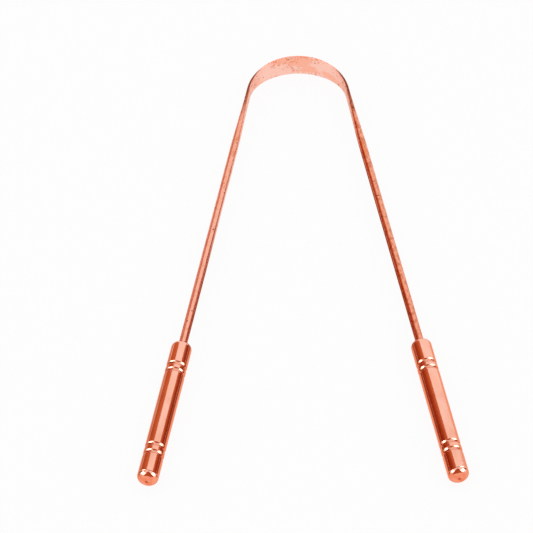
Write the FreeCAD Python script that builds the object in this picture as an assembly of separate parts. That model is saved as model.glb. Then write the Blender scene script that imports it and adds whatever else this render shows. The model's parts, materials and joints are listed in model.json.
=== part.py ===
"""Copper tongue scraper, in millimetres.

A copper wire is bent into a U. The bend is pressed flat into the scraping band, and a round
handle holds each end of the wire. Each handle is a rolled sleeve round two plugs: a bored bush
that takes the wire, and a domed plug that closes the free end.

The U lies flat, with its bend towards +Y, its handles towards -Y and +Z up. The origin is on the
surface that the scraper lies on, under the middle of its overall length and width.
"""

import FreeCAD
import Part
import math
import os

# Wire and band
WIRE_DIAMETER = 2.25
BAND_WIDTH = 6.7
BAND_THICKNESS = 0.55
BAND_SQUARENESS = 5.0
BAND_HALF_LENGTH = 1.6
TAPER_LENGTH = 42.7

# U of the wire, measured on its centre line
BEND_RADIUS = 14.4
ARM_SPREAD_DEG = 10.0
ARM_LENGTH = 99.7
TAIL_LENGTH = 10.0

# Handle sleeve
HANDLE_DIAMETER = 5.5
SLEEVE_LENGTH = 45.75
SLEEVE_WALL = 0.65
SHOULDER_RADIUS = 1.4
SEAM_BEVEL = 0.1

# Ring grooves rolled into the sleeve, in two pairs
GROOVE_RADIUS = 0.9
GROOVE_DEPTH = 0.28
UPPER_PITCH = 2.3
LOWER_PITCH = 2.55
UPPER_PAIR_FROM_MOUTH = 9.55
LOWER_PAIR_FROM_SEAM = 7.8

# Bush and plug inside the sleeve
BUSH_LENGTH = 11.9
SPIGOT_LENGTH = 11.5
HEAD_WALL = 0.2
HEAD_EDGE_DEG = 10.0
HEAD_CORNER_RADIUS = 1.55
HEAD_CROWN_RADIUS = 4.6
CENTRE_MARK_RADIUS = 0.3
CENTRE_MARK_DEPTH = 0.2

# Ring of braze where the wire goes into the sleeve
BRAZE_LEG = 0.25

# Clearances on the radius
BRAZE_GAP = 0.05
ROLLED_GAP = 0.02

# Surface of the wire: spacing of its sections, control points in each, and degree
SECTION_STEP = 2.0
SECTION_POINTS = 32
SURFACE_DEGREE = 3

# Sizes that follow from those above
WIRE_RADIUS = WIRE_DIAMETER / 2
WIRE_HOLE_RADIUS = WIRE_RADIUS + BRAZE_GAP
HANDLE_RADIUS = HANDLE_DIAMETER / 2
SLEEVE_BORE_RADIUS = HANDLE_RADIUS - SLEEVE_WALL
PLUG_RADIUS = SLEEVE_BORE_RADIUS - ROLLED_GAP
BEAD_RADIUS = GROOVE_RADIUS + SLEEVE_WALL
PLUG_GROOVE_RADIUS = BEAD_RADIUS + ROLLED_GAP
ARM_SPREAD = math.radians(ARM_SPREAD_DEG)
HEAD_EDGE = math.radians(HEAD_EDGE_DEG)
HALF_BEND_LENGTH = BEND_RADIUS * (math.pi / 2 - ARM_SPREAD)
MOUTH_DISTANCE = HALF_BEND_LENGTH + ARM_LENGTH
UPPER_GROOVES = [UPPER_PAIR_FROM_MOUTH + side * UPPER_PITCH / 2 for side in (-1, 1)]
LOWER_GROOVES = [SLEEVE_LENGTH - LOWER_PAIR_FROM_SEAM + side * LOWER_PITCH / 2 for side in (-1, 1)]


def path_point(distance):
    """Point of the wire's centre line at a signed distance from the middle of the bend, and its heading.

    Distances are positive on the +X arm. The heading is the angle that the wire has turned through
    since the middle of the bend, where it runs along +X.
    """
    on_bend = min(abs(distance), HALF_BEND_LENGTH)
    on_arm = abs(distance) - on_bend
    turned = on_bend / BEND_RADIUS
    across = BEND_RADIUS * math.sin(turned) + on_arm * math.cos(turned)
    along = BEND_RADIUS * math.cos(turned) - on_arm * math.sin(turned)
    side = math.copysign(1, distance)
    return FreeCAD.Vector(side * across, along, 0), -side * turned


def flattening(distance):
    """Share of the full flattening of the wire: 1 on the band, easing to 0 where the wire is round."""
    run_out = (abs(distance) - BAND_HALF_LENGTH) / TAPER_LENGTH
    run_out = min(max(run_out, 0), 1)
    return 1 - run_out ** 2 * (3 - 2 * run_out)


def wire_section(distance):
    """Control points of the wire's outline at a distance along its path.

    The outline is a circle that flattens into a squarish oval. Its points stand out a little, because
    a cubic surface runs inside its control points.
    """
    share = flattening(distance)
    stand_out = 3 / (2 + math.cos(2 * math.pi / SECTION_POINTS))
    half_height = stand_out * WIRE_RADIUS * (BAND_WIDTH / WIRE_DIAMETER) ** share
    half_thickness = stand_out * WIRE_RADIUS * (BAND_THICKNESS / WIRE_DIAMETER) ** share
    power = 2 / (2 + (BAND_SQUARENESS - 2) * share)
    centre, heading = path_point(distance)
    outward = FreeCAD.Vector(-math.sin(heading), math.cos(heading), 0)
    points = []
    for step in range(SECTION_POINTS):
        angle = 2 * math.pi * step / SECTION_POINTS
        out = half_thickness * math.copysign(abs(math.cos(angle)) ** power, math.cos(angle))
        up = half_height * math.copysign(abs(math.sin(angle)) ** power, math.sin(angle))
        points.append(centre + outward * out + FreeCAD.Vector(0, 0, up))
    return points


def scraper_blade():
    """The wire from tail to tail: a cubic surface over evenly spaced sections, closed by a flat cap at each end."""
    half_length = MOUTH_DISTANCE + TAIL_LENGTH
    half_count = math.ceil(half_length / SECTION_STEP)
    step = half_length / half_count
    sections = [wire_section(number * step) for number in range(-half_count, half_count + 1)]
    spans = len(sections) - SURFACE_DEGREE
    end_repeats = [SURFACE_DEGREE + 1]
    along_repeats = end_repeats + [1] * (spans - 1) + end_repeats
    around_repeats = [1] * (SECTION_POINTS + 1)
    surface = Part.BSplineSurface()
    surface.buildFromPolesMultsKnots(
        sections,
        along_repeats,
        around_repeats,
        list(range(len(along_repeats))),
        list(range(len(around_repeats))),
        False,
        True,
        SURFACE_DEGREE,
        SURFACE_DEGREE,
    )
    skin = surface.toShape()
    caps = [Part.Face(Part.Wire(edge)) for edge in skin.Edges if edge.isClosed()]
    shell = Part.Shell([skin] + caps)
    shell.sewShape()
    return Part.Solid(shell)


def turned_piece(start, *steps):
    """Solid turned about the handle's axis from a closed outline of (radius, distance from the mouth) points.

    A step is the next point, reached by a straight line, or a pair of points, reached by an arc through the first.
    """
    def spot(point):
        return FreeCAD.Vector(point[0], 0, point[1])

    edges = []
    here = start
    for step in steps + (start,):
        if isinstance(step[0], tuple):
            edges.append(Part.Arc(spot(here), spot(step[0]), spot(step[1])).toShape())
            here = step[1]
        else:
            edges.append(Part.LineSegment(spot(here), spot(step)).toShape())
            here = step
    face = Part.Face(Part.Wire(edges))
    return face.revolve(FreeCAD.Vector(0, 0, 0), FreeCAD.Vector(0, 0, 1), 360)


def ring_steps(wall_radius, arc_radius, distances):
    """Steps of an outline along a wall that dips towards the axis in a round ring at each distance."""
    half_width = math.sqrt(arc_radius ** 2 - (arc_radius - GROOVE_DEPTH) ** 2)
    half_width = half_width if distances[-1] > distances[0] else -half_width
    steps = []
    for distance in distances:
        bottom = (wall_radius - GROOVE_DEPTH, distance)
        steps.append((wall_radius, distance - half_width))
        steps.append((bottom, (wall_radius, distance + half_width)))
    return steps


def arc_step(centre, radius, first_angle, last_angle):
    """Step along an arc between two angles, measured from the radius towards the free end."""
    def spot(angle):
        return (centre[0] + radius * math.cos(angle), centre[1] + radius * math.sin(angle))

    return (spot((first_angle + last_angle) / 2), spot(last_angle))


def handle_sleeve():
    """Barrel of the handle: a tube spun over at the wire's end, with its grooves rolled in."""
    corner = (HANDLE_RADIUS - SHOULDER_RADIUS, SHOULDER_RADIUS)
    grooves = UPPER_GROOVES + LOWER_GROOVES
    return turned_piece(
        (WIRE_HOLE_RADIUS, 0),
        (corner[0], 0),
        arc_step(corner, SHOULDER_RADIUS, -math.pi / 2, 0),
        *ring_steps(HANDLE_RADIUS, GROOVE_RADIUS, grooves),
        (HANDLE_RADIUS, SLEEVE_LENGTH - SEAM_BEVEL),
        (HANDLE_RADIUS - SEAM_BEVEL, SLEEVE_LENGTH),
        (SLEEVE_BORE_RADIUS, SLEEVE_LENGTH),
        *ring_steps(SLEEVE_BORE_RADIUS, BEAD_RADIUS, grooves[::-1]),
        (SLEEVE_BORE_RADIUS, SHOULDER_RADIUS),
        arc_step(corner, SHOULDER_RADIUS - SLEEVE_WALL, 0, -math.pi / 2),
        (WIRE_HOLE_RADIUS, SLEEVE_WALL),
    )


def wire_bush():
    """Bored plug behind the shoulder, locked by the upper grooves, that the wire's tail is brazed into."""
    far_end = SLEEVE_WALL + BUSH_LENGTH
    return turned_piece(
        (WIRE_HOLE_RADIUS, SLEEVE_WALL),
        (HANDLE_RADIUS - SHOULDER_RADIUS, SLEEVE_WALL),
        (PLUG_RADIUS, SHOULDER_RADIUS),
        *ring_steps(PLUG_RADIUS, PLUG_GROOVE_RADIUS, UPPER_GROOVES),
        (PLUG_RADIUS, far_end),
        (WIRE_HOLE_RADIUS, far_end),
    )


def end_plug():
    """Domed plug of the free end: a spigot locked by the lower grooves, and a head against the sleeve's end."""
    edge = SLEEVE_LENGTH + HEAD_WALL
    corner = (
        HANDLE_RADIUS - HEAD_CORNER_RADIUS * math.cos(HEAD_EDGE),
        edge - HEAD_CORNER_RADIUS * math.sin(HEAD_EDGE),
    )
    centres_apart = HEAD_CROWN_RADIUS - HEAD_CORNER_RADIUS
    crown_edge = math.acos(corner[0] / centres_apart)
    crown_centre = (0, corner[1] - centres_apart * math.sin(crown_edge))
    tip = crown_centre[1] + HEAD_CROWN_RADIUS
    mark_edge = math.acos(CENTRE_MARK_RADIUS / HEAD_CROWN_RADIUS)
    spigot_end = SLEEVE_LENGTH - SPIGOT_LENGTH
    return turned_piece(
        (0, spigot_end),
        (PLUG_RADIUS, spigot_end),
        *ring_steps(PLUG_RADIUS, PLUG_GROOVE_RADIUS, LOWER_GROOVES),
        (PLUG_RADIUS, SLEEVE_LENGTH),
        (HANDLE_RADIUS - SEAM_BEVEL, SLEEVE_LENGTH),
        (HANDLE_RADIUS, SLEEVE_LENGTH + SEAM_BEVEL),
        (HANDLE_RADIUS, edge),
        arc_step(corner, HEAD_CORNER_RADIUS, HEAD_EDGE, crown_edge),
        arc_step(crown_centre, HEAD_CROWN_RADIUS, crown_edge, mark_edge),
        (0, tip - CENTRE_MARK_DEPTH),
    )


def braze_fillet():
    """Ring of braze in the corner between the wire and the sleeve's mouth, with a hollow face."""
    outer = (WIRE_HOLE_RADIUS + BRAZE_LEG, -BRAZE_LEG)
    return turned_piece(
        (WIRE_HOLE_RADIUS, 0),
        (WIRE_HOLE_RADIUS, -BRAZE_LEG),
        arc_step(outer, BRAZE_LEG, math.pi, math.pi / 2),
    )


def handle_place(side):
    """Placement of a handle's pieces: their axis along the arm, and the mouth at the arm's end."""
    mouth, heading = path_point(side * MOUTH_DISTANCE)
    along_arm = FreeCAD.Vector(side * math.cos(heading), side * math.sin(heading), 0)
    return FreeCAD.Placement(mouth, FreeCAD.Rotation(FreeCAD.Vector(0, 0, 1), along_arm))


def build():
    """Every piece by its node's name, with the scraper resting on Z = 0 and centred over the origin."""
    pieces = {"scraper_blade": scraper_blade()}
    handle_pieces = {
        "handle_sleeve": handle_sleeve(),
        "wire_bush": wire_bush(),
        "end_plug": end_plug(),
        "braze_fillet": braze_fillet(),
    }
    for side_name, side in (("left", -1), ("right", 1)):
        for piece_name, shape in handle_pieces.items():
            pieces[f"{side_name}_{piece_name}"] = shape.transformed(handle_place(side).toMatrix())
    box = Part.makeCompound(list(pieces.values())).optimalBoundingBox(False, False)
    to_origin = FreeCAD.Vector(0, -box.Center.y, -box.ZMin)
    return {name: shape.translated(to_origin) for name, shape in pieces.items()}


os.makedirs("parts", exist_ok=True)
for node, solid in build().items():
    solid.exportStep(f"parts/{node}.step")
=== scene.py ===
"""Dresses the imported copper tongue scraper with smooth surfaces, copper finishes and a small white studio."""

import json
import math
from typing import NamedTuple

import bpy
import numpy as np
from mathutils import Matrix, Vector


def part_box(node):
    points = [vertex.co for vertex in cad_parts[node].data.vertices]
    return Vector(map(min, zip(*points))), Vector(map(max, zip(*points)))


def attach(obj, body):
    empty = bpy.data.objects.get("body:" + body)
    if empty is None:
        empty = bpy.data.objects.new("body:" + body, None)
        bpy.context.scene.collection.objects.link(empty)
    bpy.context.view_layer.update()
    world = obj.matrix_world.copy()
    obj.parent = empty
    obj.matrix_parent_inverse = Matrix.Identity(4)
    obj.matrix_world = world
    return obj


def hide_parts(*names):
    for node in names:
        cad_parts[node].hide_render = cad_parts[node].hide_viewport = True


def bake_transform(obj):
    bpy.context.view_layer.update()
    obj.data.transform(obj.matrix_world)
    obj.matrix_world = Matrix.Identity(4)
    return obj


bl_info = {
    "name": "Copper Tongue Scraper",
    "version": (1, 0, 0),
    "blender": (4, 5, 0),
    "location": "View3D > Sidebar > Scraper",
    "description": "Builds the pieces, copper finishes and studio of a tongue scraper on its packed frame",
    "category": "Add Mesh",
}

MM = 0.001

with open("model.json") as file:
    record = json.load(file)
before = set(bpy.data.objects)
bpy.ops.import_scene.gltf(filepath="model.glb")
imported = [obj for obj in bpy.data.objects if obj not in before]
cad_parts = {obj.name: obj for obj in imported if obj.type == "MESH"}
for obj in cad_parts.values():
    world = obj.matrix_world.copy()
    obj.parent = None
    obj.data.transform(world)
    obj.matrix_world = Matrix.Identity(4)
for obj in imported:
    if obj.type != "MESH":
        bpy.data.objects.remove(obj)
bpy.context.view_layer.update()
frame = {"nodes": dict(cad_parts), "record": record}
BLADE_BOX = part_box("scraper_blade")
GRIPS = {mount["name"]: mount for mount in frame["record"]["mounts"]}
SIDES = {"left": -1, "right": 1}

# Points on the curves of the surfaces
ROUND_POINTS = 96
SHOULDER_POINTS = 20
INNER_SHOULDER_POINTS = 6
WALL_POINTS = 60
HEAD_EDGE_POINTS = 32
HEAD_CROWN_POINTS = 14
BRAZE_POINTS = 12
GROOVE_REACH = 0.9 * MM
GROOVE_STEP = 0.03 * MM
RING_STEP = 0.5 * MM
FIRST_RINGS = (0, 0.02 * MM)
SECOND_RING = 0.4 * MM
MARK_TIP = 0.05


class Mark(NamedTuple):
    """Pattern of noise, with its fineness in waves per millimetre across, up and along the piece.

    Its offset sets it apart from other patterns. Its colour begins to show at the low limit and shows fully
    at the high one.
    """

    fineness: tuple
    detail: float
    offset: float
    low: float = 0.0
    high: float = 1.0


# Marks of the blade
PALE = Mark((0.25, 0.25, 0.11), 2.0, 3.1, 0.45, 0.55)
WARM = Mark((0.5, 0.5, 0.28), 3.0, 7.7, 0.46, 0.66)
MOTTLE = Mark((1.2, 1.2, 0.7), 3.0, 13.7, 0.48, 0.62)
SCUFFED = Mark((0.14, 0.2, 0.13), 1.0, 17.9, 0.5, 0.62)
SCUFFS = Mark((1.5, 1.0, 1.5), 2.0, 19.3, 0.52, 0.62)
SPECKS = Mark((1.3, 1.3, 1.0), 1.0, 11.3, 0.69, 0.75)
DRAWN = Mark((3.0, 3.0, 0.12), 3.0, 1.9)
DENTS = Mark((0.9, 0.9, 0.6), 2.0, 5.3)
GRAIN = Mark((4.0, 4.0, 4.0), 2.0, 9.1)

# Marks of the handles and of the braze
CLOUDS = Mark((0.3, 0.3, 0.12), 3.0, 2.3, 0.45, 0.68)
BLUSH = Mark((0.45, 0.45, 0.16), 2.0, 15.1, 0.42, 0.62)
PATCHES = Mark((0.55, 0.55, 0.55), 2.0, 21.7, 0.42, 0.6)
TURNED = Mark((0.4, 0.4, 11.0), 2.0, 4.7)
RUBBED = Mark((2.2, 2.2, 0.25), 3.0, 8.9)
RIPPLES = Mark((1.5, 1.5, 3.0), 2.0, 6.1, 0.4, 0.7)
CUT_LINES_PER_METRE, CUT_DETAIL = 2500.0, 2.0

# Stretches over which the blade's finish changes, in millimetres along the wire from the middle of the bend
ARMS = (10.0, 20.0)
ONE_ARM = (12.0, 30.0)
LOWER_ARMS = (40.0, 75.0)
ROUND_WIRE = (18.0, 46.0)
SHOULDERS_BEGIN = (11.0, 16.0)
SHOULDERS_END = (21.0, 34.0)

# Other limits on the blade: outer side of the left arm, in millimetres, and upper edge, in half heights
OUTER_LEFT = (-0.15, -0.6)
TOP_EDGE = (0.93, 0.99)

# How strongly each mark colours the blade
PALE_SHARE = 0.95
WARM_SHARE, WARM_EVEN = 0.6, 0.1
# Painted shade: the whole right arm is coloured deeper, a little less on its upper part
RIGHT_ARM_SHADE, RIGHT_ARM_SHADE_LESS = 0.5, 0.1
# The mottle is the arms' own colour; its extra share on the right arm is painted shade
MOTTLE_SHARE, MOTTLE_AND_SHADE_RIGHT = 0.2, 0.45
SCUFF_SHARE = 0.75
SPECK_SHARE, MORE_SPECKS = 0.8, 0.04
# Painted shade: the dark line along the upper edge of the shoulders
ARRIS_SHADE_SHARE = 0.85

# Roughness of the blade, and what each mark adds to it
BAND_ROUGHNESS = 0.34
WIRE_SMOOTHER = 0.16
PALE_ROUGHER = 0.05
SPECK_ROUGHER = 0.2
SCUFF_ROUGHER = 0.1
TOP_EDGE_ROUGHER = 0.25
OUTER_LEFT_ROUGHER = 0.25

# Relief of the blade, as shares of its depth
BLADE_RELIEF = 0.05 * MM
DRAWN_RELIEF = 0.35
DENT_RELIEF, ARM_DENT_RELIEF = 0.25, 0.9
GRAIN_RELIEF = 0.12
SCUFF_RELIEF = 0.2

# Finish of the handles: lengths in millimetres, then shares, roughness and relief
HOLLOW = (0.24, 0.06)
BARREL_END = 1.0
DOME_START = 0.5
HOLLOW_SHARE = 0.6
BLUSH_SHARE = 0.6
CLOUD_SHARE = 0.45
WARM_DOME_SHARE, PALE_DOME_SHARE = 0.3, 0.9
CENTRE_MARK_SHARE = 0.75
HANDLE_ROUGHNESS, CLOUD_ROUGHER, TURNED_ROUGHER = 0.06, 0.07, 0.04
HANDLE_RELIEF, TURNED_RELIEF, RUBBED_RELIEF = 0.008 * MM, 0.5, 0.5

# Finishes of the bushes and of the braze: share of the groove's colour, roughness and relief
CUT_SHARE, CUT_ROUGHNESS, CUT_ROUGHER, CUT_RELIEF = 0.3, 0.35, 0.1, 0.02 * MM
BRAZE_SHARE, BRAZE_ROUGHNESS, BRAZE_ROUGHER, BRAZE_RELIEF = 0.5, 0.3, 0.1, 0.03 * MM

# Painted shade and painted warm light on the floor as the copper reflects it: ray lengths, distances from the
# handles' axes, and places along the scraper
FAR_RAYS = (8 * MM, 17 * MM)
OUTSIDE_HANDLES = (2 * MM, 8 * MM)
INSIDE_ARMS = (-1.2 * MM, 0.2 * MM)
MIDDLE = (-3 * MM, 3 * MM)
FRONT_END = (-84 * MM, -76 * MM)
HANDLES_END = (-10 * MM, 30 * MM)
LEFT_OUTSIDE_SHARE = 0.5
ARMS_BEGIN = (-32 * MM, -22 * MM)
LEFT_ARM_END = (-5 * MM, 21 * MM)
RIGHT_ARM_FURTHER = 45 * MM

# Studio
WHITE = (1.0, 1.0, 1.0)
STUDIO_MIDDLE_Y = -40 * MM
FLOOR_HALF_WIDTH = 2.0
FLOOR_DROP = 0.02 * MM
CARD_POINTS = 15
SENSOR_WIDTH = 36.0
CAMERA_CLIP_START = 0.01


def length(name, millimetres, description):
    """Property for a length, given in millimetres and kept in metres."""
    return bpy.props.FloatProperty(
        name=name, description=description, default=millimetres * MM, unit="LENGTH", precision=5
    )


def angle(name, degrees, description):
    """Property for an angle, given in degrees and kept in radians."""
    return bpy.props.FloatProperty(
        name=name, description=description, default=math.radians(degrees), subtype="ANGLE"
    )


def share(name, value, description):
    """Property for a plain number."""
    return bpy.props.FloatProperty(name=name, description=description, default=value)


def colour(name, value, description):
    """Property for a linear colour."""
    return bpy.props.FloatVectorProperty(
        name=name, description=description, default=value, size=3, min=0, max=1, subtype="COLOR"
    )


class WireSizes(bpy.types.PropertyGroup):
    """Sizes of the wire that makes the blade and the arms."""

    wire_diameter: length("Wire Diameter", 2.25, "Diameter of the round wire at the handles")
    band_width: length("Band Width", 6.7, "Width of the flattened band at the bend")
    band_thickness: length("Band Thickness", 0.55, "Thickness of the flattened band")
    band_squareness: share("Band Squareness", 5.0, "Power of the band's oval outline; 2 is an ellipse")
    band_half_length: length("Band Half Length", 1.6, "Reach of the full width from the middle of the bend")
    taper_length: length("Taper Length", 42.7, "Length over which the band runs out to round wire")
    bend_radius: length("Bend Radius", 14.4, "Radius of the bend on the wire's centre line")
    arm_spread: angle("Arm Spread", 10.0, "Angle between an arm and the line of symmetry")
    arm_length: length("Arm Length", 99.7, "Length of an arm from the bend to the handle's mouth")
    tail_length: length("Tail Length", 10.0, "Length of wire inside the handle")


class HandleSizes(bpy.types.PropertyGroup):
    """Sizes of a handle, measured from its mouth, where the wire goes in."""

    diameter: length("Diameter", 5.5, "Diameter of the barrel")
    sleeve_length: length("Sleeve Length", 45.75, "Length of the barrel from its mouth to the plug's head")
    wall: length("Wall", 0.65, "Wall of the barrel")
    shoulder_radius: length("Shoulder Radius", 1.4, "Rounding of the barrel at the wire")
    seam_bevel: length("Seam Bevel", 0.1, "Bevel of the barrel and of the plug where they meet")
    groove_radius: length("Groove Radius", 0.9, "Radius of a ring groove's round bottom")
    groove_depth: length("Groove Depth", 0.28, "Depth of a ring groove")
    groove_lip: length("Groove Lip", 0.012, "Rounding of a groove's edges")
    upper_pitch: length("Upper Pitch", 2.3, "Distance between the upper two grooves")
    lower_pitch: length("Lower Pitch", 2.55, "Distance between the lower two grooves")
    upper_pair: length("Upper Pair", 9.55, "Distance of the upper pair of grooves from the mouth")
    lower_pair: length("Lower Pair", 7.8, "Distance of the lower pair of grooves from the seam")
    plug_gap: length("Plug Gap", 0.02, "Clearance between the plug's spigot and the barrel")
    spigot_length: length("Spigot Length", 11.5, "Length of the plug inside the barrel")
    head_wall: length("Head Wall", 0.2, "Length of the head's straight side below the seam")
    head_edge: angle("Head Edge", 10.0, "Angle at which the head's side breaks into its rounded edge")
    head_corner: length("Head Corner", 1.55, "Radius of the head's rounded edge")
    head_crown: length("Head Crown", 4.6, "Radius of the head's domed end")
    mark_radius: length("Mark Radius", 0.3, "Radius of the centre mark in the tip")
    mark_depth: length("Mark Depth", 0.2, "Depth of the centre mark in the tip")
    wire_hole: length("Wire Hole", 2.35, "Diameter of the hole that the wire goes into")
    braze_leg: length("Braze Leg", 0.25, "Length of the braze along the wire and across the mouth")


class CopperLook(bpy.types.PropertyGroup):
    """Colours of the copper and of its marks."""

    band: colour("Band", (0.97, 0.46, 0.33), "Pressed copper of the band")
    pale: colour("Pale", (0.98, 0.59, 0.49), "Pale patches on the band")
    # Also used for painted shade: the deeper colour over the whole right arm
    warm: colour("Warm", (0.84, 0.27, 0.13), "Deeper patches at the shoulders and on the arms")
    # Also used for painted shade: the extra mottle on the right arm
    mottle: colour("Mottle", (0.55, 0.13, 0.05), "Dark mottling of the arms")
    speck: colour("Speck", (0.20, 0.05, 0.025), "Dark specks of tarnish")
    # Painted shade: the dark line along the upper edge of the shoulders
    arris_shade: colour("Arris", (0.22, 0.04, 0.012), "Tarnish along the upper edge of the shoulders")
    handle: colour("Handle", (0.98, 0.49, 0.355), "Polished copper of the handles")
    blush: colour("Blush", (0.99, 0.55, 0.44), "Paler clouds on the handles")
    groove: colour("Groove", (0.80, 0.33, 0.20), "Copper at the bottom of the grooves")
    inner: colour("Inner", (0.78, 0.43, 0.32), "Copper of the bushes, as cut")
    braze: colour("Braze", (0.93, 0.50, 0.35), "Braze at the wire")


class StudioSettings(bpy.types.PropertyGroup):
    """Camera, lamps and cards round the scraper."""

    camera_place: bpy.props.FloatVectorProperty(
        name="Camera Place", description="Where the camera stands", size=3, subtype="TRANSLATION",
        default=(-2.27 * MM, -568.22 * MM, 588.81 * MM),
    )
    camera_azimuth: angle("Camera Azimuth", 0.697, "Turn of the camera about the vertical")
    camera_elevation: angle("Camera Elevation", 46.0, "Angle at which the camera looks down")
    camera_roll: angle("Camera Roll", -1.105, "Turn of the camera about its line of sight")
    lens: share("Lens", 202.63, "Focal length in millimetres, on a sensor 36 millimetres wide")
    floor: colour("Floor", (0.80, 0.80, 0.80), "Colour of the floor")
    floor_glow: share("Floor Glow", 0.92, "Share of plain white in the floor as the camera sees it")
    floor_shine: share("Floor Shine", 0.97, "Share of plain glow in the floor as the copper reflects it")
    # Painted shade and painted warm light on the floor, seen only in the copper's reflections
    floor_near_warm_shade: colour("Floor Near", (0.94, 0.50, 0.34), "Reflected floor close to the handles")
    floor_far_shade: colour("Floor Far", (0.27, 0.04, 0.008), "Reflected floor further from the handles")
    floor_front_warm_light: colour("Floor Front", (0.96, 0.58, 0.43), "Reflected floor in front of the handles")
    floor_inner_shade: colour("Floor Inner", (0.40, 0.10, 0.035), "Reflected floor between the arms")
    sky: share("Sky", 1.0, "Strength of the white surround")
    softbox: share("Softbox", 4.0, "Brightness of the two softboxes")
    softbox_width: length("Softbox Width", 470.0, "Width of a softbox")
    softbox_height: length("Softbox Height", 340.0, "Height of a softbox")
    reach: length("Reach", 600.0, "Distance of the cards and softboxes from the handles")
    card_light: colour("Card Light", (0.60, 0.18, 0.065), "Colour of the cards where they are light")
    card_dark: colour("Card Dark", (0.25, 0.024, 0.003), "Colour of the cards where they are dark")


class Socket:
    """An output of a node, so that shader maths can be written as Python expressions."""

    def __init__(self, finish, output):
        self.finish = finish
        self.output = output

    def __add__(self, other):
        return self.finish.math("ADD", self, other)

    def __sub__(self, other):
        return self.finish.math("SUBTRACT", self, other)

    def __rsub__(self, other):
        return self.finish.math("SUBTRACT", other, self)

    def __mul__(self, other):
        return self.finish.math("MULTIPLY", self, other)

    __radd__ = __add__
    __rmul__ = __mul__


class Finish:
    """A material in the making."""

    def __init__(self, name):
        self.material = bpy.data.materials.new(name)
        self.material.use_nodes = True
        self.material.node_tree.nodes.clear()

    def node(self, kind, settings=None, inputs=None, output=0):
        """Adds a node, sets it up, fills its inputs with values or links and gives one of its outputs."""
        made = self.material.node_tree.nodes.new(kind)
        for key, value in (settings or {}).items():
            setattr(made, key, value)
        for key, value in (inputs or {}).items():
            if isinstance(value, Socket):
                self.material.node_tree.links.new(value.output, made.inputs[key])
            else:
                made.inputs[key].default_value = value
        return Socket(self, made.outputs[output]) if made.outputs else None

    def math(self, operation, *values):
        """Math node on numbers or sockets."""
        return self.node("ShaderNodeMath", {"operation": operation}, dict(enumerate(values)))

    def between(self, value, low, high):
        """Smooth step from 0 at low to 1 at high."""
        return self.node(
            "ShaderNodeMapRange",
            {"interpolation_type": "SMOOTHSTEP"},
            {"Value": value, "From Min": low, "From Max": high},
        )

    def mix(self, part, first, second):
        """Colour that goes from the first to the second as part goes from 0 to 1."""
        ends = [end if isinstance(end, Socket) else (*end, 1.0) for end in (first, second)]
        return self.node("ShaderNodeMix", {"data_type": "RGBA"}, {0: part, 6: ends[0], 7: ends[1]}, output=2)

    def laid_out(self):
        """Place on the piece in millimetres, with its wire or handle laid straight along Z."""
        return self.node("ShaderNodeAttribute", {"attribute_name": "laid_out"}, output="Vector")

    def axis(self, vector, name):
        """One of a vector's three numbers."""
        return self.node("ShaderNodeSeparateXYZ", None, {0: vector}, output=name)

    def from_axis(self, vector):
        """Distance of a laid-out place from the Z axis."""
        flat = self.node("ShaderNodeVectorMath", {"operation": "MULTIPLY"}, {0: vector, 1: (1, 1, 0)})
        return self.node("ShaderNodeVectorMath", {"operation": "LENGTH"}, {0: flat}, output="Value")

    def noise(self, vector, mark):
        """Noise of about 0 to 1 with a mark's fineness, detail and offset."""
        moved = self.node(
            "ShaderNodeVectorMath",
            {"operation": "MULTIPLY_ADD"},
            {0: vector, 1: mark.fineness, 2: (mark.offset, mark.offset, mark.offset)},
        )
        return self.node(
            "ShaderNodeTexNoise", None, {"Vector": moved, "Scale": 1.0, "Detail": mark.detail}, output="Fac"
        )

    def marked(self, vector, mark):
        """Share of a mark's colour, from its noise and its limits."""
        return self.between(self.noise(vector, mark), mark.low, mark.high)

    def metal(self, base, roughness, height, depth):
        """Polished metal of that colour and roughness, with a relief of up to depth metres."""
        normal = self.node("ShaderNodeBump", None, {"Strength": 1.0, "Distance": depth, "Height": height})
        surface = self.node(
            "ShaderNodeBsdfPrincipled",
            None,
            {"Base Color": base, "Metallic": 1.0, "Roughness": roughness, "Normal": normal},
        )
        self.node("ShaderNodeOutputMaterial", None, {"Surface": surface})
        return self.material


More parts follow.
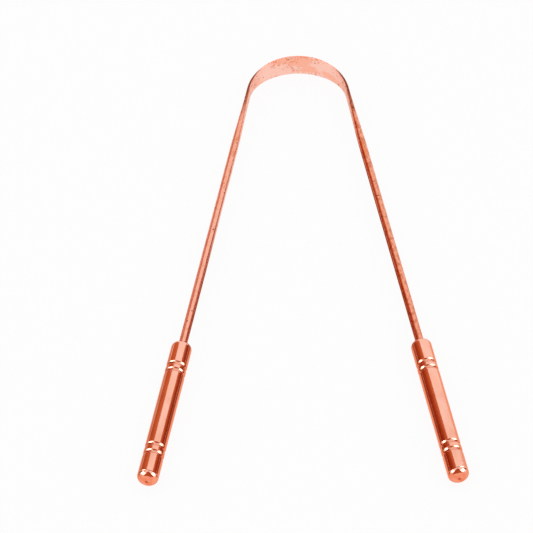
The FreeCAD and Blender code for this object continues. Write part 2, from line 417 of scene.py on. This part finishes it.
def pressed_copper(look):
    """Copper of the blade: a pale scuffed band, mottled arms and drawn wire near the handles, with painted
    shade over the right arm and along the upper edge of the shoulders.
    """
    finish = Finish("pressed_copper")
    laid = finish.laid_out()
    along = finish.axis(laid, "Z")
    reach = finish.math("ABSOLUTE", along)
    round_wire = finish.between(reach, *ROUND_WIRE)
    arms = finish.between(reach, *ARMS)
    upper_arms = arms * (1 - finish.between(reach, *LOWER_ARMS))
    right_arm = finish.between(along, *ONE_ARM)
    left_arm = finish.between(along, -ONE_ARM[0], -ONE_ARM[1])

    pale = finish.marked(laid, PALE)
    base = finish.mix(pale * (1 - arms) * PALE_SHARE, look.band, look.pale)
    warm = upper_arms * (finish.marked(laid, WARM) * WARM_SHARE + WARM_EVEN)
    # Painted shade: the whole right arm is made deeper in colour
    warm = warm + right_arm * (RIGHT_ARM_SHADE - upper_arms * RIGHT_ARM_SHADE_LESS)
    base = finish.mix(warm, base, look.warm)
    # The arms' own mottle, with an extra share on the right arm as painted shade
    mottle = finish.marked(laid, MOTTLE) * (arms * MOTTLE_SHARE + right_arm * MOTTLE_AND_SHADE_RIGHT)
    base = finish.mix(mottle, base, look.mottle)
    scuffs = finish.marked(laid, SCUFFED) * finish.marked(laid, SCUFFS) * (1 - arms)
    base = finish.mix(scuffs * SCUFF_SHARE, base, look.warm)
    specks = finish.between(finish.noise(laid, SPECKS) + upper_arms * MORE_SPECKS, SPECKS.low, SPECKS.high)
    base = finish.mix(specks * SPECK_SHARE, base, look.speck)
    height_share = finish.node("ShaderNodeAttribute", {"attribute_name": "height_share"}, output="Fac")
    top_edge = finish.between(height_share, *TOP_EDGE)
    shoulders = finish.between(reach, *SHOULDERS_BEGIN) * (1 - finish.between(reach, *SHOULDERS_END))
    # Painted shade: a dark line along the upper edge of the shoulders
    base = finish.mix(top_edge * shoulders * ARRIS_SHADE_SHARE, base, look.arris_shade)

    outer_left = finish.between(finish.axis(laid, "X"), *OUTER_LEFT) * left_arm
    dull = top_edge * (1 - round_wire) * TOP_EDGE_ROUGHER + outer_left * OUTER_LEFT_ROUGHER
    marks = pale * PALE_ROUGHER + specks * SPECK_ROUGHER + scuffs * SCUFF_ROUGHER
    roughness = BAND_ROUGHNESS - round_wire * WIRE_SMOOTHER + marks + dull
    height = (
        finish.noise(laid, DRAWN) * DRAWN_RELIEF
        + finish.noise(laid, DENTS) * (upper_arms * ARM_DENT_RELIEF + DENT_RELIEF)
        + finish.noise(laid, GRAIN) * GRAIN_RELIEF
        - scuffs * SCUFF_RELIEF
    )
    return finish.metal(base, roughness, height, BLADE_RELIEF)


def turned_copper(look, sizes):
    """Copper of the handles: turned lines, worn polish, deeper grooves and patchy domes with a dark mark."""
    finish = Finish("turned_copper")
    laid = finish.laid_out()
    radius = sizes.diameter / 2 / MM
    seam = sizes.sleeve_length / MM
    mark_radius = sizes.mark_radius / MM
    along = finish.axis(laid, "Z")
    off_axis = finish.from_axis(laid)
    hollow = 1 - finish.between(off_axis, radius - HOLLOW[0], radius - HOLLOW[1])
    on_barrel = 1 - finish.between(along, seam - BARREL_END, seam)
    on_dome = finish.between(along, seam, seam + DOME_START)

    base = finish.mix(finish.marked(laid, BLUSH) * BLUSH_SHARE, look.handle, look.blush)
    cloudy = finish.noise(laid, CLOUDS)
    base = finish.mix(finish.between(cloudy, CLOUDS.low, CLOUDS.high) * CLOUD_SHARE, base, look.groove)
    base = finish.mix(hollow * on_barrel * HOLLOW_SHARE, base, look.groove)
    patches = finish.marked(laid, PATCHES)
    base = finish.mix(on_dome * patches * WARM_DOME_SHARE, base, look.warm)
    base = finish.mix(on_dome * (1 - patches) * PALE_DOME_SHARE, base, look.pale)
    centre_mark = 1 - finish.between(off_axis, mark_radius, 2 * mark_radius)
    base = finish.mix(centre_mark * CENTRE_MARK_SHARE, base, look.mottle)

    turned_lines = finish.noise(laid, TURNED)
    roughness = HANDLE_ROUGHNESS + cloudy * CLOUD_ROUGHER + turned_lines * TURNED_ROUGHER
    height = turned_lines * TURNED_RELIEF + finish.noise(laid, RUBBED) * RUBBED_RELIEF
    return finish.metal(base, roughness, height, HANDLE_RELIEF)


def cut_copper(look):
    """Copper of the bushes inside the barrels, as it comes off the lathe."""
    finish = Finish("cut_copper")
    place = finish.node("ShaderNodeTexCoord", None, None, output="Object")
    lines = finish.node(
        "ShaderNodeTexNoise",
        None,
        {"Vector": place, "Scale": CUT_LINES_PER_METRE, "Detail": CUT_DETAIL},
        output="Fac",
    )
    base = finish.mix(lines * CUT_SHARE, look.inner, look.groove)
    return finish.metal(base, CUT_ROUGHNESS + lines * CUT_ROUGHER, lines, CUT_RELIEF)


def smooth_braze(look):
    """Braze of the rings at the wire: a little yellower than the copper, and rippled."""
    finish = Finish("smooth_braze")
    ripple = finish.noise(finish.laid_out(), RIPPLES)
    base = finish.mix(
        finish.between(ripple, RIPPLES.low, RIPPLES.high) * BRAZE_SHARE, look.braze, look.groove
    )
    return finish.metal(base, BRAZE_ROUGHNESS + ripple * BRAZE_ROUGHER, ripple, BRAZE_RELIEF)


def skin(name, rings, laid_out, loop=False, crisp=()):
    """Closed mesh over a grid of rings of points.

    Quads join each ring to the next. A loop joins its last ring to its first, and other skins get a fan of
    triangles to the middle of each end ring. Rings named in crisp keep a sharp edge.
    """
    rows, count = rings.shape[:2]
    points = rings.reshape(-1, 3)
    places = laid_out.reshape(-1, 3)
    row, spot = np.meshgrid(np.arange(rows if loop else rows - 1), np.arange(count), indexing="ij")
    beside = (spot + 1) % count
    after = (row + 1) % rows
    quads = np.stack(
        [row * count + spot, row * count + beside, after * count + beside, after * count + spot], axis=-1
    ).reshape(-1, 4)
    corners = np.concatenate([quads[:, [0, 1, 2]], quads[:, [0, 2, 3]]])
    fans = np.empty((0, 3), int)
    if not loop:
        ring = np.arange(count)
        first = np.stack([np.roll(ring, -1), ring, np.full(count, rows * count)], axis=-1)
        last = np.stack([ring, np.roll(ring, -1), np.full(count, count + 1)], axis=-1) + (rows - 1) * count
        fans = np.concatenate([first, last])
        points = np.concatenate([points, rings[[0, -1]].mean(axis=1)])
        places = np.concatenate([places, laid_out[[0, -1]].mean(axis=1)])
        corners = np.concatenate([corners, fans])
    a, b, c = (points[corners[:, k]] for k in range(3))
    if np.einsum("ij,ij->", np.cross(a, b), c) < 0:
        quads, fans = quads[:, ::-1], fans[:, ::-1]
    mesh = bpy.data.meshes.new(name)
    mesh.from_pydata(points.tolist(), [], quads.tolist() + fans.tolist())
    mesh.polygons.foreach_set("use_smooth", np.ones(len(mesh.polygons), bool))
    edges = np.empty(len(mesh.edges) * 2, np.int32)
    mesh.edges.foreach_get("vertices", edges)
    edge_rows = np.where(edges < rows * count, edges // count, -1).reshape(-1, 2)
    sharp = (edge_rows[:, 0] == edge_rows[:, 1]) & np.isin(edge_rows[:, 0], np.array(crisp, int) % rows)
    mesh.attributes.new("sharp_edge", "BOOLEAN", "EDGE").data.foreach_set("value", sharp)
    mesh.attributes.new("laid_out", "FLOAT_VECTOR", "POINT").data.foreach_set(
        "vector", (places / MM).astype(np.float32).ravel()
    )
    mesh.update()
    made = bpy.data.objects.new(name, mesh)
    bpy.context.scene.collection.objects.link(made)
    return made


def wire_half(name, wire, side):
    """Half of the blade, from the middle of the bend to the tail of one arm.

    The centre line is an arc of the bend's radius and then its tangent. Round it runs an oval: at each angle
    the distance from the middle is that of a superellipse with unit half axes, stretched to the half
    thickness across the wire and the half width upwards. The stretches go from the band's to the wire's by a
    smooth step, in proportion, and the oval's power goes from the band's to a circle's.
    """
    spread = wire.arm_spread
    half_bend = wire.bend_radius * (math.pi / 2 - spread)
    reach = half_bend + wire.arm_length + wire.tail_length
    steps = np.linspace(SECOND_RING, reach, int(reach / RING_STEP))
    distance = np.concatenate([FIRST_RINGS, steps])[:, None]
    turn = 2 * math.pi * np.arange(ROUND_POINTS) / ROUND_POINTS

    on_bend = np.minimum(distance, half_bend)
    on_arm = distance - on_bend
    heading = on_bend / wire.bend_radius
    run_out = np.clip((distance - wire.band_half_length) / wire.taper_length, 0, 1)
    flat = 1 - run_out ** 2 * (3 - 2 * run_out)
    radius = wire.wire_diameter / 2
    half_width = radius * (wire.band_width / wire.wire_diameter) ** flat
    half_thickness = radius * (wire.band_thickness / wire.wire_diameter) ** flat
    power = 2 + (wire.band_squareness - 2) * flat
    size = (np.abs(np.cos(turn)) ** power + np.abs(np.sin(turn)) ** power) ** (-1 / power)
    out = half_thickness * size * np.cos(turn)
    up = half_width * size * np.sin(turn)

    middle = (BLADE_BOX[0] + BLADE_BOX[1]) / 2
    centre_y = BLADE_BOX[1].y - wire.bend_radius - wire.band_thickness / 2
    across = (wire.bend_radius + out) * np.sin(heading) + on_arm * np.cos(heading)
    along = (wire.bend_radius + out) * np.cos(heading) - on_arm * np.sin(heading)
    rings = np.stack([side * across, centre_y + along, middle.z + up], axis=-1)
    laid_out = np.stack([side * out, up, side * distance + 0 * up], axis=-1)
    half = skin(name, rings, laid_out, crisp=(0, -1))
    shares = np.concatenate([(up / half_width).ravel(), [0, 0]])
    half.data.attributes.new("height_share", "FLOAT", "POINT").data.foreach_set("value", shares)
    return half


def turned(name, sizes, side_name, radii, distances, loop, crisp):
    """Piece turned about a handle's axis: each profile point goes round a full circle about the axis.

    The axis and its place come from the handle's grip, which is halfway between the pairs of grooves.
    """
    grip = GRIPS[f"{side_name}_grip"]
    axis = np.array(grip["axis"]) / np.linalg.norm(grip["axis"])
    across = np.array([-axis[1], axis[0], 0.0])
    upward = np.array([0.0, 0.0, 1.0])
    grooves = groove_places(sizes)
    mouth = np.array(grip["pos_m"]) - (grooves[1] + grooves[2]) / 2 * axis
    turn = 2 * math.pi * np.arange(ROUND_POINTS) / ROUND_POINTS
    x = radii[:, None] * np.cos(turn)
    y = radii[:, None] * np.sin(turn)
    z = distances[:, None] + 0 * x
    rings = mouth + x[..., None] * across + y[..., None] * upward + z[..., None] * axis
    return skin(name, rings, np.stack([x, y, z], axis=-1), loop=loop, crisp=crisp)


def groove_places(sizes):
    """Distances of the four ring grooves from the mouth."""
    lower = sizes.sleeve_length - sizes.lower_pair
    return np.array(
        [
            sizes.upper_pair - sizes.upper_pitch / 2,
            sizes.upper_pair + sizes.upper_pitch / 2,
            lower - sizes.lower_pitch / 2,
            lower + sizes.lower_pitch / 2,
        ]
    )


def groove_dip(sizes, distance):
    """Depth of the ring grooves at distances from the mouth.

    A groove is a circular arc below the barrel. The larger of its depth and zero is taken softly, as half the
    sum of the depth and the root of its square plus four lips squared, which rounds the edges.
    """
    away = np.abs(distance[:, None] - groove_places(sizes))
    arc = np.sqrt(np.maximum(sizes.groove_radius ** 2 - away ** 2, 0))
    beyond = np.maximum(away - sizes.groove_radius, 0)
    depth = arc - (sizes.groove_radius - sizes.groove_depth) - 2 * beyond
    return (0.5 * (depth + np.sqrt(depth ** 2 + 4 * sizes.groove_lip ** 2))).max(axis=1)


def arc_points(centre, radius, first, last, count):
    """Radii and distances of points on an arc between two angles, from the radius towards the free end."""
    swing = np.linspace(first, last, count)
    return centre[0] + radius * np.cos(swing), centre[1] + radius * np.sin(swing)


def sleeve_profile(sizes):
    """Closed profile of the barrel: mouth, shoulder, grooved wall, bevel, end face and bore."""
    radius = sizes.diameter / 2
    bore = radius - sizes.wall
    hole = sizes.wire_hole / 2
    corner = (radius - sizes.shoulder_radius, sizes.shoulder_radius)
    end = sizes.sleeve_length
    shoulder = arc_points(corner, sizes.shoulder_radius, -math.pi / 2, 0, SHOULDER_POINTS)
    fine = [
        np.arange(place - GROOVE_REACH, place + GROOVE_REACH, GROOVE_STEP) for place in groove_places(sizes)
    ]
    plain = np.linspace(sizes.shoulder_radius, end - sizes.seam_bevel, WALL_POINTS)[1:]
    wall = np.unique(np.concatenate([plain, *fine]))
    inner = arc_points(corner, sizes.shoulder_radius - sizes.wall, 0, -math.pi / 2, INNER_SHOULDER_POINTS)
    end_face = [radius - sizes.seam_bevel, bore]
    radii = np.concatenate(
        [[hole], shoulder[0], radius - groove_dip(sizes, wall), end_face, inner[0], [hole]]
    )
    distances = np.concatenate([[0], shoulder[1], wall, [end, end], inner[1], [sizes.wall]])
    bevel = 1 + len(shoulder[0]) + len(wall)
    return radii, distances, (0, bevel - 1, bevel, bevel + 1, -1)


def plug_profile(sizes):
    """Open profile of the end plug: spigot, bevel, short wall, rounded edge, dome and centre mark."""
    radius = sizes.diameter / 2
    spigot = radius - sizes.wall - sizes.plug_gap
    seam = sizes.sleeve_length
    corner = (
        radius - sizes.head_corner * math.cos(sizes.head_edge),
        seam + sizes.head_wall - sizes.head_corner * math.sin(sizes.head_edge),
    )
    apart = sizes.head_crown - sizes.head_corner
    crown_edge = math.acos(corner[0] / apart)
    crown_centre = (0.0, corner[1] - apart * math.sin(crown_edge))
    tip = crown_centre[1] + sizes.head_crown
    mark_edge = math.acos(sizes.mark_radius / sizes.head_crown)
    edge = arc_points(corner, sizes.head_corner, sizes.head_edge, crown_edge, HEAD_EDGE_POINTS)
    crown = arc_points(crown_centre, sizes.head_crown, crown_edge, mark_edge, HEAD_CROWN_POINTS)
    start = [spigot, spigot, radius - sizes.seam_bevel, radius]
    radii = np.concatenate([start, edge[0], crown[0][1:], [MARK_TIP * sizes.mark_radius]])
    start = [seam - sizes.spigot_length, seam, seam, seam + sizes.seam_bevel]
    distances = np.concatenate([start, edge[1], crown[1][1:], [tip - sizes.mark_depth]])
    return radii, distances, (0, 1, 2, 3, 4, len(radii) - 2)


def braze_profile(sizes, wire):
    """Closed profile of a braze ring: along the wire, over its hollow face and back across the mouth."""
    inner = wire.wire_diameter / 2
    leg = sizes.braze_leg + sizes.wire_hole / 2 - inner
    hollow = arc_points((inner + leg, -leg), leg, math.pi, math.pi / 2, BRAZE_POINTS)
    radii = np.concatenate([[inner], hollow[0]])
    distances = np.concatenate([[0], hollow[1]])
    return radii, distances, (0, 1, -1)


def dress(piece, material, slot, *nodes):
    """Gives a piece its material and hides the nodes that it stands for. Its slot is not used."""
    piece.data.materials.append(material)
    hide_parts(*nodes)


class SCRAPER_OT_blade(bpy.types.Operator):
    """Build the blade as two halves, each from the middle of the bend along one arm"""

    bl_idname = "scraper.blade"
    bl_label = "Blade"

    def execute(self, context):
        wire = context.scene.scraper_wire
        material = pressed_copper(context.scene.scraper_look)
        for side_name, side in SIDES.items():
            half = wire_half(f"{side_name}_blade_half", wire, side)
            dress(half, material, "blade_copper", "scraper_blade")
            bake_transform(half)
        return {"FINISHED"}


class SCRAPER_OT_sleeves(bpy.types.Operator):
    """Build the barrels of the two handles"""

    bl_idname = "scraper.sleeves"
    bl_label = "Handle Sleeves"

    def execute(self, context):
        sizes = context.scene.scraper_handle
        material = turned_copper(context.scene.scraper_look, sizes)
        radii, distances, crisp = sleeve_profile(sizes)
        for side_name in SIDES:
            sleeve = turned(f"{side_name}_sleeve", sizes, side_name, radii, distances, True, crisp)
            dress(sleeve, material, "handle_copper", f"{side_name}_handle_sleeve")
            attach(sleeve, f"{side_name}_handle")
        return {"FINISHED"}


class SCRAPER_OT_plugs(bpy.types.Operator):
    """Build the domed plugs that close the handles"""

    bl_idname = "scraper.plugs"
    bl_label = "End Plugs"

    def execute(self, context):
        sizes = context.scene.scraper_handle
        material = turned_copper(context.scene.scraper_look, sizes)
        radii, distances, crisp = plug_profile(sizes)
        for side_name in SIDES:
            plug = turned(f"{side_name}_plug", sizes, side_name, radii, distances, False, crisp)
            dress(plug, material, "handle_copper", f"{side_name}_end_plug")
            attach(plug, f"{side_name}_handle")
        return {"FINISHED"}


class SCRAPER_OT_braze(bpy.types.Operator):
    """Build the rings of braze where the wire goes into the handles"""

    bl_idname = "scraper.braze"
    bl_label = "Braze Rings"

    def execute(self, context):
        sizes = context.scene.scraper_handle
        material = smooth_braze(context.scene.scraper_look)
        radii, distances, crisp = braze_profile(sizes, context.scene.scraper_wire)
        for side_name in SIDES:
            ring = turned(f"{side_name}_braze", sizes, side_name, radii, distances, True, crisp)
            dress(ring, material, "braze", f"{side_name}_braze_fillet")
            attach(ring, f"{side_name}_handle")
        return {"FINISHED"}


class SCRAPER_OT_bushes(bpy.types.Operator):
    """Give the hidden bushes their copper"""

    bl_idname = "scraper.bushes"
    bl_label = "Wire Bushes"

    def execute(self, context):
        material = cut_copper(context.scene.scraper_look)
        for side_name in SIDES:
            bush = frame["nodes"][f"{side_name}_wire_bush"]
            bush.data.materials.clear()
            bush.data.materials.append(material)
        return {"FINISHED"}


def stage_sheet(name, points, material):
    """Mesh over a grid of points that belongs to the studio and not to the scraper."""
    rows, columns = points.shape[:2]
    row, column = np.meshgrid(np.arange(rows - 1), np.arange(columns - 1), indexing="ij")
    corner = row * columns + column
    quads = np.stack([corner, corner + 1, corner + columns + 1, corner + columns], axis=-1).reshape(-1, 4)
    mesh = bpy.data.meshes.new(name)
    mesh.from_pydata(points.reshape(-1, 3).tolist(), [], quads.tolist())
    mesh.materials.append(material)
    sheet = bpy.data.objects.new(name, mesh)
    bpy.context.scene.collection.objects.link(sheet)
    return sheet


def toward(azimuth, elevation, distance):
    """Points at angles about the handles: azimuth from the bend round to +X, elevation above the floor."""
    level = distance * np.cos(elevation)
    along = level * np.cos(azimuth) + STUDIO_MIDDLE_Y
    return np.stack([level * np.sin(azimuth), along, distance * np.sin(elevation)], axis=-1)


def floor_finish(studio):
    """Pale matt floor under a plain glow, which keeps the shadow soft.

    The camera sees the glow white. The copper sees it white round the bend, with painted dark shade between the
    arms, painted warm light in front of the handles and painted warm shade beside them: darker further off, but
    less so on the outer sides.
    """
    finish = Finish("floor")
    camera, glossy, clear, far = (
        finish.node("ShaderNodeLightPath", None, None, output=name)
        for name in ("Is Camera Ray", "Is Glossy Ray", "Is Transmission Ray", "Ray Length")
    )
    place = finish.node("ShaderNodeTexCoord", None, None, output="Object")
    across, along = finish.axis(place, "X"), finish.axis(place, "Y")
    on_right = finish.between(across, *MIDDLE)
    grip = GRIPS["right_grip"]
    slope = grip["axis"][0] / grip["axis"][1]
    axis_line = (along - grip["pos_m"][1]) * slope + grip["pos_m"][0]
    beyond = finish.math("ABSOLUTE", across) - axis_line

    outside = on_right * (1 - LEFT_OUTSIDE_SHARE) + LEFT_OUTSIDE_SHARE
    outside = finish.between(beyond, *OUTSIDE_HANDLES) * outside
    # Painted warm shade beside the handles, darker for longer rays, and painted warm light in front of them
    dark = finish.between(far, *FAR_RAYS) * (1 - outside)
    warm = finish.mix(dark, studio.floor_near_warm_shade, studio.floor_far_shade)
    warm = finish.mix(1 - finish.between(along, *FRONT_END), warm, studio.floor_front_warm_light)
    beside_handles = 1 - finish.between(along, *HANDLES_END)
    tone = finish.mix(beside_handles * (1 - camera), WHITE, warm)
    # Painted dark shade on the floor between the arms
    inside_arms = 1 - finish.between(beyond, *INSIDE_ARMS)
    below_bend = 1 - finish.between(along - on_right * RIGHT_ARM_FURTHER, *LEFT_ARM_END)
    between_arms = inside_arms * below_bend * finish.between(along, *ARMS_BEGIN)
    tone = finish.mix(between_arms * (1 - camera), tone, studio.floor_inner_shade)

    glowing = camera * studio.floor_glow + finish.math("MAXIMUM", glossy, clear) * studio.floor_shine
    matt = finish.node("ShaderNodeBsdfDiffuse", None, {"Color": (*studio.floor, 1.0)})
    glow = finish.node("ShaderNodeEmission", None, {"Color": tone, "Strength": 1.0})
    surface = finish.node("ShaderNodeMixShader", None, {0: glowing, 1: matt, 2: glow})
    finish.node("ShaderNodeOutputMaterial", None, {"Surface": surface})
    return finish.material


def card_finish(studio):
    """Card that only shows as a reflection, from light to dark by its shade."""
    finish = Finish("card")
    shade = finish.node("ShaderNodeAttribute", {"attribute_name": "shade"}, output="Fac")
    tone = finish.mix(shade, studio.card_light, studio.card_dark)
    glow = finish.node("ShaderNodeEmission", None, {"Color": tone, "Strength": 1.0})
    finish.node("ShaderNodeOutputMaterial", None, {"Surface": glow})
    return finish.material


class SCRAPER_OT_studio(bpy.types.Operator):
    """Build the floor, cards, lamps, surround and camera"""

    bl_idname = "scraper.studio"
    bl_label = "Studio"

    # Azimuths and elevations of each card in degrees, and how dark it is at those ends
    CARDS = {
        "left_card": ((-22, -84), (-1, 58), (-0.5, 1.9), (1.0, 0.9)),
        "right_card": ((47, 86), (-1, 37), (1.0, 1.0), (1.3, 0.0)),
        "front_card": ((140, 220), (0, 95), (0.4, 0.4), (1.0, 1.0)),
    }
    SOFTBOXES = {"left_softbox": (-112, 31), "right_softbox": (112, 31)}

    def execute(self, context):
        studio = context.scene.scraper_studio
        edge = np.array([-FLOOR_HALF_WIDTH, FLOOR_HALF_WIDTH])
        x, y = np.meshgrid(edge, edge)
        stage_sheet("floor", np.stack([x, y, 0 * x - FLOOR_DROP], axis=-1), floor_finish(studio))
        material = card_finish(studio)
        for name, ends in self.CARDS.items():
            turn, height, turn_shade, height_shade = (np.linspace(*end, CARD_POINTS) for end in ends)
            turn, height = np.meshgrid(np.radians(turn), np.radians(height), indexing="ij")
            card = stage_sheet(name, toward(turn, height, studio.reach), material)
            shade = np.clip(np.outer(turn_shade, height_shade), 0, 1)
            card.data.attributes.new("shade", "FLOAT", "POINT").data.foreach_set("value", shade.ravel())
            card.visible_camera = False
            card.visible_diffuse = False
            card.visible_shadow = False
        for name, (turn, height) in self.SOFTBOXES.items():
            lamp = bpy.data.lights.new(name, "AREA")
            lamp.shape = "RECTANGLE"
            lamp.size = studio.softbox_width
            lamp.size_y = studio.softbox_height
            lamp.energy = studio.softbox * math.pi * lamp.size * lamp.size_y
            place = Vector(toward(np.radians(turn), np.radians(height), studio.reach))
            made = bpy.data.objects.new(name, lamp)
            facing = place.to_track_quat("Z", "Y").to_matrix().to_4x4()
            made.matrix_world = Matrix.Translation(place) @ facing
            made.visible_camera = False
            made.visible_diffuse = False
            context.scene.collection.objects.link(made)
        world = bpy.data.worlds.new("surround")
        world.use_nodes = True
        background = world.node_tree.nodes["Background"]
        background.inputs["Color"].default_value = (*WHITE, 1.0)
        background.inputs["Strength"].default_value = studio.sky
        context.scene.world = world
        self.add_camera(context, studio)
        context.scene.view_settings.view_transform = "Standard"
        return {"FINISHED"}

    def add_camera(self, context, studio):
        """Camera that looks down along its azimuth and elevation, with a small roll."""
        azimuth, elevation = studio.camera_azimuth, studio.camera_elevation
        turn = Matrix.Rotation(azimuth, 4, "Z") @ Matrix.Rotation(math.pi / 2 - elevation, 4, "X")
        data = bpy.data.cameras.new("camera")
        data.lens = studio.lens
        data.sensor_width = SENSOR_WIDTH
        data.clip_start = CAMERA_CLIP_START
        camera = bpy.data.objects.new("camera", data)
        camera.matrix_world = (
            Matrix.Translation(studio.camera_place) @ turn @ Matrix.Rotation(studio.camera_roll, 4, "Z")
        )
        context.scene.collection.objects.link(camera)
        context.scene.camera = camera


class SCRAPER_PT_panel(bpy.types.Panel):
    """Sidebar panel that lists the pieces and the studio"""

    bl_idname = "SCRAPER_PT_panel"
    bl_label = "Tongue Scraper"
    bl_space_type = "VIEW_3D"
    bl_region_type = "UI"
    bl_category = "Scraper"

    def draw(self, context):
        for operator in OPERATORS:
            self.layout.operator(operator.bl_idname)
        for group in GROUPS:
            box = self.layout.box()
            for key in GROUPS[group].__annotations__:
                box.prop(getattr(context.scene, group), key)


GROUPS = {
    "scraper_wire": WireSizes,
    "scraper_handle": HandleSizes,
    "scraper_look": CopperLook,
    "scraper_studio": StudioSettings,
}
OPERATORS = (
    SCRAPER_OT_blade,
    SCRAPER_OT_sleeves,
    SCRAPER_OT_plugs,
    SCRAPER_OT_braze,
    SCRAPER_OT_bushes,
    SCRAPER_OT_studio,
)


def register():
    """Registers the settings, the operators and the panel."""
    for name, group in GROUPS.items():
        bpy.utils.register_class(group)
        setattr(bpy.types.Scene, name, bpy.props.PointerProperty(type=group))
    for kind in (*OPERATORS, SCRAPER_PT_panel):
        bpy.utils.register_class(kind)


def unregister():
    """Takes away what register adds."""
    for kind in (SCRAPER_PT_panel, *reversed(OPERATORS)):
        bpy.utils.unregister_class(kind)
    for name, group in reversed(GROUPS.items()):
        delattr(bpy.types.Scene, name)
        bpy.utils.unregister_class(group)


def main():
    """Builds every piece and the studio."""
    register()
    bpy.ops.scraper.blade()
    bpy.ops.scraper.sleeves()
    bpy.ops.scraper.plugs()
    bpy.ops.scraper.braze()
    bpy.ops.scraper.bushes()
    bpy.ops.scraper.studio()


if __name__ == "__main__":
    main()
